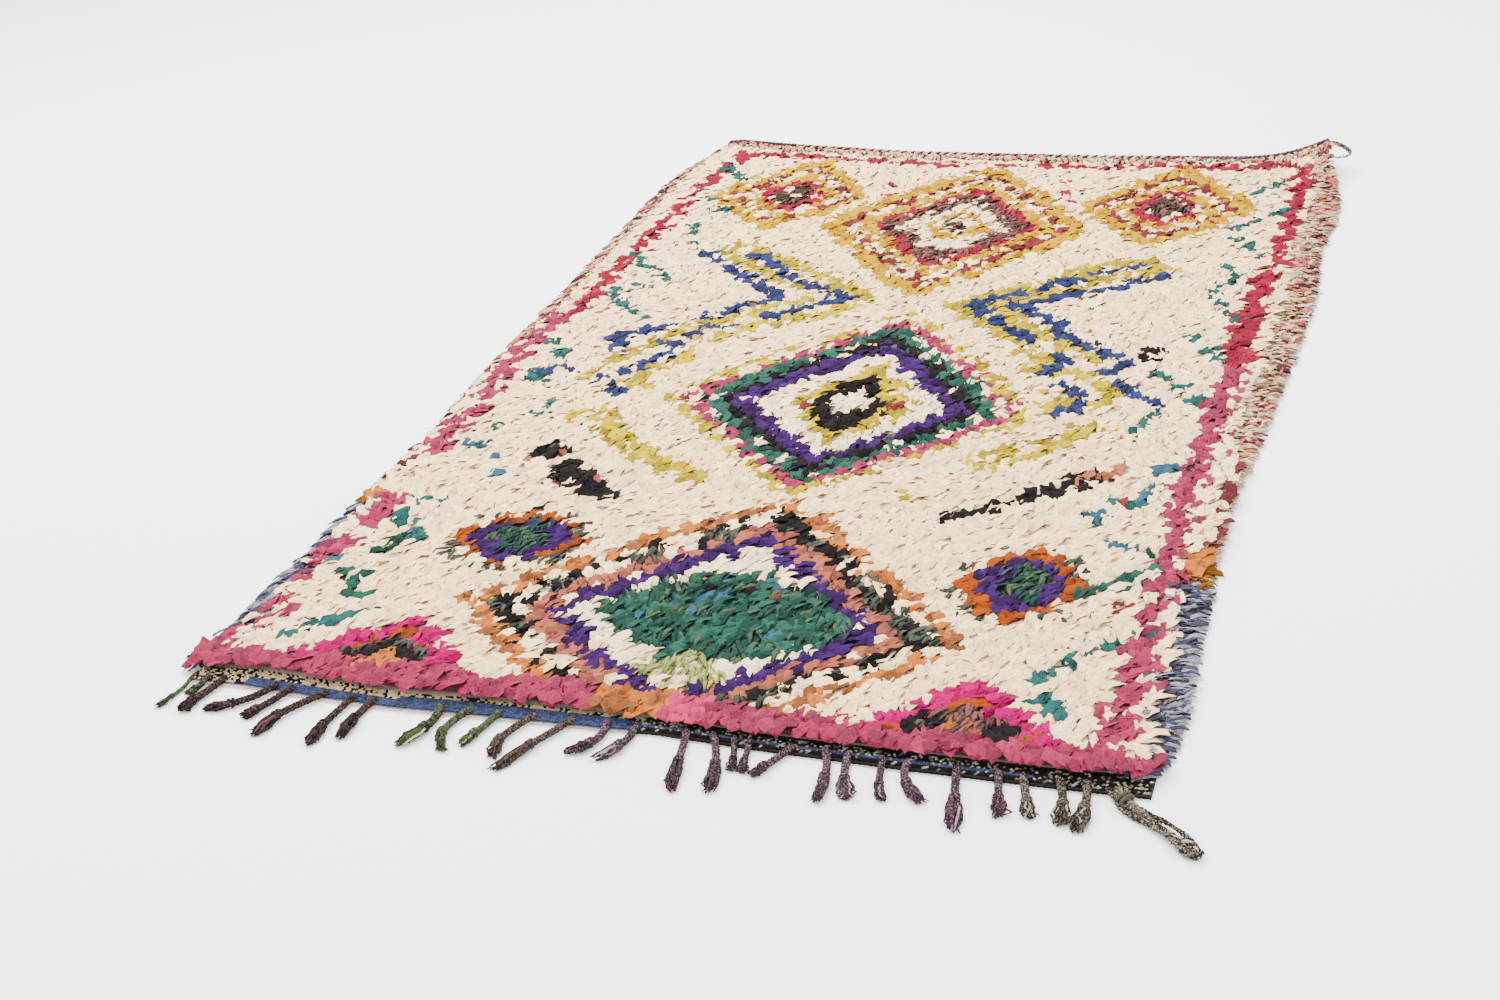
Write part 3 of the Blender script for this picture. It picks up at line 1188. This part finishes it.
class RUG_OT_selvedges(bpy.types.Operator):
    """Add the yarn selvedges, combed to the left along both sides, and the plain end"""

    bl_idname = "rug.selvedges"
    bl_label = "Selvedges"

    def execute(self, context):
        seed = context.scene.rug_sizes.seed
        self.side("selvedge_left", -1, np.random.default_rng(seed + 19))
        self.side("selvedge_right", 1, np.random.default_rng(seed + 21))
        self.plain_end(np.random.default_rng(seed + 23))
        return {"FINISHED"}

    def side(self, name, side, rng):
        """Four layers along one side. The left side's strands point out over the rim, as
        it bulges there, and the right side's point in."""
        y = np.repeat(np.arange(-1.03, 1.045, COMB_PITCH), 4)
        layer = np.tile((0.0, 1.0, 2.0, 3.0), len(y) // 4)
        y = y + rng.normal(0.0, 0.002, len(y))
        length = rng.uniform(0.024, 0.036, len(y))
        heading = -1.0 + rng.normal(0.0, 0.22, len(y))
        way = ahead(heading) * length[:, None]
        slack = rng.normal(0.0, 0.0022, len(y))
        if side < 0:
            bulge = np.clip((y + 0.1) / 0.4, 0.0, 1.0) * np.clip((1.0 - y) / 0.15, 0.0, 1.0)
            x = left_edge(y) + 0.002 - 0.012 * bulge + layer * LAYER_STEP + slack
            tip = np.column_stack((x, y))
            root, rise = tip - way, OUTWARD
        else:
            root = np.column_stack((right_edge(y) - 0.004 - layer * LAYER_STEP + slack, y))
            tip, rise = root + way, INWARD
        which = np.full(len(y), dye("mauve pink"))
        for owner, low, upper, first, mixed in SELVEDGE_DYES:
            if owner == side:
                blur = y + rng.normal(0.0, 0.010, len(y))
                inside = (blur > low) & (blur <= upper)
                which[inside] = dye(first)
                which[inside & (rng.random(len(y)) < 0.10 + 0.22 * layer)] = dye(mixed)
        rosy = rng.random(len(y)) < (0.30 if side < 0 else 0.22)
        which[rosy & (y > -0.24) & (layer < 2)] = dye("dusky rose")
        high = 0.0105 + layer * 0.0026 + rng.normal(0.0, 0.0012, len(y))
        combed(name, root, tip, high, rise, which, rng)

    def plain_end(self, rng):
        """Three layers over the hem of the far end."""
        x = np.repeat(np.arange(-0.61, 0.572, COMB_PITCH), 3)
        layer = np.tile((0.0, 1.0, 2.0), len(x) // 3)
        y = far_edge(x) - 0.004 - layer * 0.012 + rng.normal(0.0, 0.002, len(x))
        tip = np.column_stack((x, y))
        heading = math.pi + rng.normal(0.3, 0.35, len(x))
        length = rng.uniform(0.022, 0.032, len(x))
        root = tip - ahead(heading) * length[:, None]
        high = 0.0172 + layer * 0.0014 + rng.normal(0.0, 0.0010, len(x))
        draw = rng.random(len(x))
        which = np.full(len(x), dye("mauve pink"))
        which[draw < 0.42] = dye("cream")
        which[draw < 0.09] = dye("dusky rose")
        combed("plain_end_yarn", root, tip, high, OUTWARD, which, rng)


class Tubes:
    """Tubes of one ring and side count, gathered into one joined mesh."""

    def __init__(self, rings, sides):
        self.rings, self.sides = rings, sides
        self.lines, self.radii, self.dyes, self.runs = [], [], [], []

    def add(self, lines, radii, names, rng, fade=0.08, marl=0.0):
        """Add tubes along lines (tube, ring, xyz), radii for each ring or one, and
        how strongly pale flecks of marled yarn show on them."""
        lines = np.asarray(lines, float)
        radii = np.broadcast_to(np.asarray(radii, float), lines.shape[:2])
        which = np.array([dye(name) for name in names])
        length = np.linalg.norm(np.diff(lines, axis=1), axis=2).sum(axis=1)
        self.lines.append(lines)
        self.radii.append(radii)
        colours = dyed(which, self.rings, rng, fade)
        plain = np.full((*colours.shape[:2], 1), 1.0 - marl)
        self.dyes.append(np.concatenate((colours, plain), axis=2))
        self.runs.append(np.stack((length, radii.max(axis=1) * 6.28), axis=1))

    def finish(self, name, material_name, slot, *replaced):
        """Make the piece, with nothing of it under the floor."""
        lines, radii = np.concatenate(self.lines), np.concatenate(self.radii)
        places = sweep(lines, radii, self.sides)
        places[..., 2] = np.maximum(places[..., 2], 0.0004)
        piece = joined_tubes(name, places, np.concatenate(self.dyes), np.concatenate(self.runs))
        ready(piece, material_name, slot, *replaced)


def cut_up(line):
    """A long line cut into runs of a cord's rings that share their ends."""
    return [line[start : start + CORD_RINGS] for start in range(0, len(line) - 1, RUN)]


def long_cord(tubes, line, thick, pitch, names, rng):
    """Add a cord of two plies along a long line, cut into short runs of rings."""
    for ply, name in zip(twisted(line, thick * 0.25, pitch, 2), names):
        runs = cut_up(ply)
        tubes.add(runs, thick * 0.27, [name] * len(runs), rng)


def band_dye(x, row, rng):
    """The dye of a stitch of the end band, by its place along and its row."""
    speck = rng.random()
    if x > 0.44:
        share, names = 0.24, ("loop pale", "speck dark")
    elif x < -0.50:
        share, names = 0.55, ("cream", "speck dark")
    elif x > 0.0 and row < 4:
        share, names = 0.30, ("loop pale", "speck dark")
    elif x > 0.0 and row < 6:
        share, names = 0.88, ("band blue", "loop pale")
    elif x > 0.0:
        share, names = 0.90, ("speck dark", "loop pale")
    elif row < (2 if x > -0.30 else 4):
        share, names = 0.68, ("cream", "speck dark")
    else:
        share, names = 0.90, ("band blue", "grey green")
    return names[0] if speck < share else names[1]


class RUG_OT_band(bpy.types.Operator):
    """Add the flat-woven end band between pile and fringe"""

    bl_idname = "rug.band"
    bl_label = "End band"

    def execute(self, context):
        rng = np.random.default_rng(context.scene.rug_sizes.seed + 40)
        bm, upper = sheet_of_wool(160, 5, self.place)
        bmesh.ops.translate(bm, vec=(0.0, 0.0, BAND_THICK), verts=upper)
        tints = [FIRST[dye(self.ground_dye(vert.co.x, vert.co.y))] for vert in bm.verts]
        sheet_piece("band_cloth", bm, tints, "band_wool", "end_band")
        stitches = Tubes(3, 4)
        columns = np.arange(BAND_SPAN[0] + 0.003, BAND_SPAN[1] - 0.003, STITCH_PITCH)
        for row in range(BAND_ROWS):
            x = columns + (row % 2) * STITCH_PITCH * 0.5
            inner, outer = pile_near(x) + 0.007, band_outer(x) + 0.0018
            y = inner + (outer - inner) * (row + 0.5) / BAND_ROWS
            slant = 0.9 if row % 2 else -0.9
            share = np.linspace(-0.5, 0.5, 3)
            lines = np.stack((
                x[:, None] + share * STITCH_PITCH * 1.5,
                y[:, None] + share * slant * 0.0028 + rng.normal(0.0, 0.0002, (len(x), 1)),
                0.0036 + 0.0011 * np.cos(share * 3.0) + rng.normal(0.0, 0.0002, (len(x), 1)),
            ), axis=2)
            names = [band_dye(a, row, rng) for a in x]
            stitches.add(lines, (0.0007, 0.0017, 0.0007), names, rng, 0.12)
        stitches.finish("band_stitches", "hand_spun_wool", "band_wool")
        return {"FINISHED"}

    def place(self, across, along):
        """A place of the lower face, from the fringe to under the pile's edge."""
        x = BAND_SPAN[0] + (BAND_SPAN[1] - BAND_SPAN[0]) * across
        inner, outer = float(pile_near(x)) + 0.0142, float(band_outer(x)) + 0.0004
        return x, outer + (inner - outer) * along, 0.0004

    def ground_dye(self, x, y):
        """The dye of the band's cloth, which shows between its stitches."""
        if x > 0.0:
            return "speck dark"
        return "band blue" if y < pile_near(x) - 0.004 else "loop pale"


def strand_line(row):
    """The middle line of one fringe strand in plan, from the band to its tip."""
    root, bend_x, bend_y, end_x, end_y = (value / 1000.0 for value in row[:5])
    start = np.array((root, float(band_outer(root)) + 0.008))
    bend, end = np.array((bend_x, bend_y)), np.array((end_x, end_y))
    through = bend * 2.0 - (start + end) * 0.5
    t = np.linspace(0.0, 1.0, STRAND_POINTS)[:, None]
    return start * (1 - t) ** 2 + through * 2 * t * (1 - t) + end * t ** 2


def points_at(line, at):
    """Points of a line at places between its own numbered points."""
    return np.stack([np.interp(at, np.arange(len(line)), values) for values in line.T], axis=1)


MARL = {
    # dye of the cord: dye of its odd threads, how strongly its pale flecks show
    "maroon": ("fleck", 0.20),
    "umber": ("fleck", 0.34),
    "fringe green": ("mint", 0.30),
    "mauve": ("pale fleck", 0.42),
    "soot": ("loop pale", 0.50),
}


class RUG_OT_fringe(bpy.types.Operator):
    """Add the plied warp-end cords with their knots and tassels"""

    bl_idname = "rug.fringe"
    bl_label = "Fringe"

    def execute(self, context):
        sizes = context.scene.rug_sizes
        rng = np.random.default_rng(sizes.seed + 60)
        cords, threads = Tubes(CORD_RINGS, CORD_SIDES), Tubes(THREAD_RINGS, THREAD_SIDES)
        x = np.linspace(*BAND_SPAN, 14 * RUN + 1)
        edge = np.stack((x, band_outer(x) - 0.0022, np.full(len(x), 0.0026)), axis=1)
        half = len(x) // 2
        long_cord(cords, edge[: half + 1], 0.0030, EDGE_TWIST, ("cream", "cream"), rng)
        long_cord(cords, edge[half:], 0.0034, EDGE_TWIST, ("speck dark", "speck dark"), rng)
        for row in STRANDS:
            self.strand(row, sizes.cord_thick * row[6], cords, threads, rng)
        cords.finish("fringe_cords", "marled_fringe_wool", "fringe_wool", "near_fringe")
        threads.finish("fringe_threads", "marled_fringe_wool", "fringe_wool")
        return {"FINISHED"}

    def strand(self, row, thick, cords, threads, rng):
        """One strand: a cord of three plies, a coil as its knot and a tassel of threads."""
        spread, name = row[5], row[7]
        odd, marl = MARL[name]
        heights = (0.0068, 0.0066, thick * 0.5, thick * 0.5)
        level = np.interp(np.linspace(0, 1, STRAND_POINTS), (0.0, 0.10, 0.25, 1.0), heights)
        line = np.column_stack((strand_line(row), level))
        stem = points_at(line, np.linspace(0, KNOT_POINT, CORD_RINGS))
        plies = twisted(stem, thick * 0.20, FRINGE_TWIST, 3, rng.uniform(0.0, 6.28))
        cords.add(plies, thick * 0.235, (name,) * 3, rng, 0.12, marl)
        knot = line[KNOT_POINT - 2 : KNOT_POINT + 5].mean(axis=0) + UP * 0.0005
        way = unit(line[KNOT_POINT + 4] - line[KNOT_POINT - 4])
        coil = coiled(knot, way, 1.7, thick * 0.75, thick * 0.42, thick * 0.36)
        cords.add([coil], thick * 0.18, (name,), rng, 0.12, marl)
        count = THREADS
        share = np.linspace(0.0, 1.0, THREAD_RINGS)
        tail = points_at(line, KNOT_POINT + share * (STRAND_POINTS - 1 - KNOT_POINT))
        turn = rng.uniform(0.0, FULL_TURN, count)
        away = np.sqrt(rng.random(count)) * thick * 0.50
        bulge = 1.0 + (spread - 1.0) * np.sin(np.pi * np.clip(share * 1.15, 0, 1)) ** 0.7
        closing = np.interp(share, (0.0, 0.25, 0.7, 1.0), (0.60, 0.95, 1.05, 0.85))
        offset = away[:, None] * (bulge * closing)
        wild = rng.normal(0.0, 0.0028, (count, THREAD_RINGS)) * share
        long = rng.uniform(0.70, 1.08, count)[:, None]
        base = tail[0] + (tail - tail[0]) * long[..., None]
        aside = np.array((-way[1], way[0], 0.0))
        lines = base + aside * (np.cos(turn)[:, None] * offset + wild)[..., None]
        round_high = (thick * 0.36) * (1 + np.sin(turn)[:, None] * 0.9 * closing)
        lines[..., 2] = 0.0018 + round_high * (1.05 - 0.5 * share ** 2) * 0.95
        radii = np.array([0.0014, 0.0015, 0.0015, 0.0015, 0.0013, 0.0008]) * thick / 0.0115
        names = [name if rng.random() > 0.07 else odd for _ in range(count)]
        if name == "soot":
            names = [name if rng.random() > 0.15 else odd for _ in range(count)]
        threads.add(lines, radii, names, rng, 0.15, marl * 0.7)


class RUG_OT_tassel(bpy.types.Operator):
    """Add the thick corner tassel of black and ivory cords"""

    bl_idname = "rug.tassel"
    bl_label = "Corner tassel"

    def execute(self, context):
        rng = np.random.default_rng(context.scene.rug_sizes.seed + 80)
        cords, threads = Tubes(CORD_RINGS, CORD_SIDES), Tubes(THREAD_RINGS, THREAD_SIDES)
        middle = resampled([row[:2] for row in TASSEL_LINE], 2 * RUN + 1)
        way = unit(np.gradient(middle, axis=0))
        aside = np.column_stack((-way[:, 1], way[:, 0]))
        share = np.linspace(0.0, 1.0, len(middle))
        fan = np.interp(share, (0.0, 0.16, 0.3, 0.8, 1.0), (1.35, 0.85, 1.0, 1.1, 0.6))
        for k in range(4):
            offset = 0.0046 * (k - 1.5) * fan + 0.0012 * np.sin(share * 14.0 + k * 1.7)
            level = 0.0058 + 0.0022 * np.sin(share * 12.0 + k * 2.4) * np.sin(share * 3.14)
            line = np.column_stack((middle + aside * offset[:, None], level))
            names = ("soot", "loop pale" if k == 2 else "soot")
            for start, stem in zip((0, RUN), cut_up(line)):
                plies = twisted(stem, 0.0018, TASSEL_TWIST, 2, k + start)
                cords.add(plies, 0.0021, names, rng, 0.14, 0.75)
        coil = coiled(TASSEL_KNOT, np.array((*way[10], 0.0)), 1.8, 0.010, 0.0098, 0.0052)
        cords.add([coil], 0.0024, ("soot",), rng)
        self.tip(middle[-9], middle[-1], threads, rng)
        cords.finish("tassel_cords", "marled_fringe_wool", "tassel_wool", "corner_tassel")
        threads.finish("tassel_threads", "marled_fringe_wool", "tassel_wool")
        return {"FINISHED"}

    def tip(self, back, tip, threads, rng):
        """The loose threads at the tassel's tip."""
        count = TIP_THREADS
        share = np.linspace(0.0, 1.0, THREAD_RINGS)
        side = rng.uniform(-1.0, 1.0, count)
        base = back + (tip - back) * 1.05 * share[:, None]
        flow = unit(np.array((-(tip - back)[1], (tip - back)[0])))
        fan = np.interp(share, (0.0, 0.5, 1.0), (0.0075, 0.0075, 0.0030))
        plan = base[None] + flow * (side[:, None] * fan)[..., None]
        level = 0.0016 + rng.random(count)[:, None] * np.interp(share, (0.0, 1.0), (0.008, 0.004))
        lines = np.concatenate((plan, level[..., None]), axis=2)
        names = ["soot" if rng.random() > 0.20 else "loop pale" for _ in range(count)]
        threads.add(lines, (0.0011, 0.0012, 0.0012, 0.0011, 0.0010, 0.0005), names, rng, 0.12, 0.4)


class RUG_OT_hem(bpy.types.Operator):
    """Add the rolled hem along the plain end and the loop at its corner"""

    bl_idname = "rug.hem"
    bl_label = "Plain end"

    def execute(self, context):
        rng = np.random.default_rng(context.scene.rug_sizes.seed + 90)
        cords = Tubes(CORD_RINGS, CORD_SIDES)
        x = np.linspace(-0.606, 0.572, 16 * RUN + 1)
        y = far_edge(x) - 0.0042
        line = np.column_stack((x, y, HEM_LEVEL + curl(x, y)))
        for first, last, names in HEM_DYES:
            part = line[first * RUN : last * RUN + 1]
            long_cord(cords, part, HEM_THICK, HEM_TWIST, names, rng)
        cords.finish("plain_end_hem", "hand_spun_wool", "pile_cotton")
        loop = Tubes(CORD_RINGS, CORD_SIDES)
        line = resampled(LOOP_LINE, 2 * RUN + 1)
        share = np.linspace(0, 1, len(line))
        thick = np.interp(share, (0.0, 0.45, 0.60, 1.0), (0.0105, 0.0098, 0.0048, 0.0040))
        for ply in twisted(line, 0.0019, LOOP_TWIST, 2):
            for run, wide, name in zip(cut_up(ply), cut_up(thick), ("loop grey", "loop pale")):
                loop.add([run], wide * 0.27, (name,), rng)
        loop.finish("loop_of_cord", "hand_spun_wool", "loop_cord", "corner_loop")
        return {"FINISHED"}


class RUG_OT_stage(bpy.types.Operator):
    """Add the floor, the soft light and the camera"""

    bl_idname = "rug.stage"
    bl_label = "Stage"

    def execute(self, context):
        light = context.scene.rug_light
        bm = bmesh.new()
        bmesh.ops.create_grid(bm, x_segments=1, y_segments=1, size=FLOOR_SIZE)
        mesh = bpy.data.meshes.new("floor")
        bm.to_mesh(mesh)
        bm.free()
        # Matte floor paint of a studio, plain and pale
        made, tree, shader = new_material("studio_floor_paint")
        fill(tree, shader, {"Base Color": (*light.floor, 1.0), "Roughness": 0.9})
        mesh.materials.append(made)
        placed("floor", mesh)
        world = bpy.data.worlds.new("even_surround")
        world.use_nodes = True
        white = {"Color": (1.0, 1.0, 1.0, 1.0), "Strength": light.sky}
        fill(world.node_tree, world.node_tree.nodes["Background"], white)
        context.scene.world = world
        lamp = bpy.data.lights.new("soft_overhead", "AREA")
        lamp.shape = "RECTANGLE"
        lamp.size = lamp.size_y = LAMP_SIZE
        lamp.energy = light.power
        place = Vector(LAMP_PLACE)
        aim = (-place).to_track_quat("-Z", "Y").to_matrix().to_4x4()
        placed("soft_overhead", lamp).matrix_world = Matrix.Translation(place) @ aim
        lens = bpy.data.cameras.new("camera")
        lens.sensor_width, lens.lens, lens.clip_end = 36.0, FOCAL, 60.0
        camera = placed("camera", lens)
        camera.matrix_world = Matrix((*CAMERA, (0.0, 0.0, 0.0, 1.0)))
        context.scene.camera = camera
        return {"FINISHED"}


class RUG_PT_panel(bpy.types.Panel):
    """Sizes and steps of the rug"""

    bl_idname = "RUG_PT_panel"
    bl_label = "Boucherouite rug"
    bl_space_type = "VIEW_3D"
    bl_region_type = "UI"
    bl_category = "Rug"

    def draw(self, context):
        layout = self.layout
        for group in (context.scene.rug_sizes, context.scene.rug_light):
            for name in group.__annotations__:
                layout.prop(group, name)
        for step in STEPS:
            layout.operator(step.bl_idname)


STEPS = (
    RUG_OT_ground,
    RUG_OT_pile,
    RUG_OT_selvedges,
    RUG_OT_band,
    RUG_OT_fringe,
    RUG_OT_tassel,
    RUG_OT_hem,
    RUG_OT_stage,
)
CLASSES = (RUG_PG_sizes, RUG_PG_light, *STEPS, RUG_PT_panel)


def register():
    for item in CLASSES:
        bpy.utils.register_class(item)
    bpy.types.Scene.rug_sizes = PointerProperty(type=RUG_PG_sizes)
    bpy.types.Scene.rug_light = PointerProperty(type=RUG_PG_light)


def unregister():
    del bpy.types.Scene.rug_light
    del bpy.types.Scene.rug_sizes
    for item in reversed(CLASSES):
        bpy.utils.unregister_class(item)


def main():
    register()
    bpy.ops.rug.ground()
    bpy.ops.rug.pile()
    bpy.ops.rug.selvedges()
    bpy.ops.rug.band()
    bpy.ops.rug.fringe()
    bpy.ops.rug.tassel()
    bpy.ops.rug.hem()
    bpy.ops.rug.stage()
    bpy.context.view_layer.update()


if __name__ == "__main__":
    main()
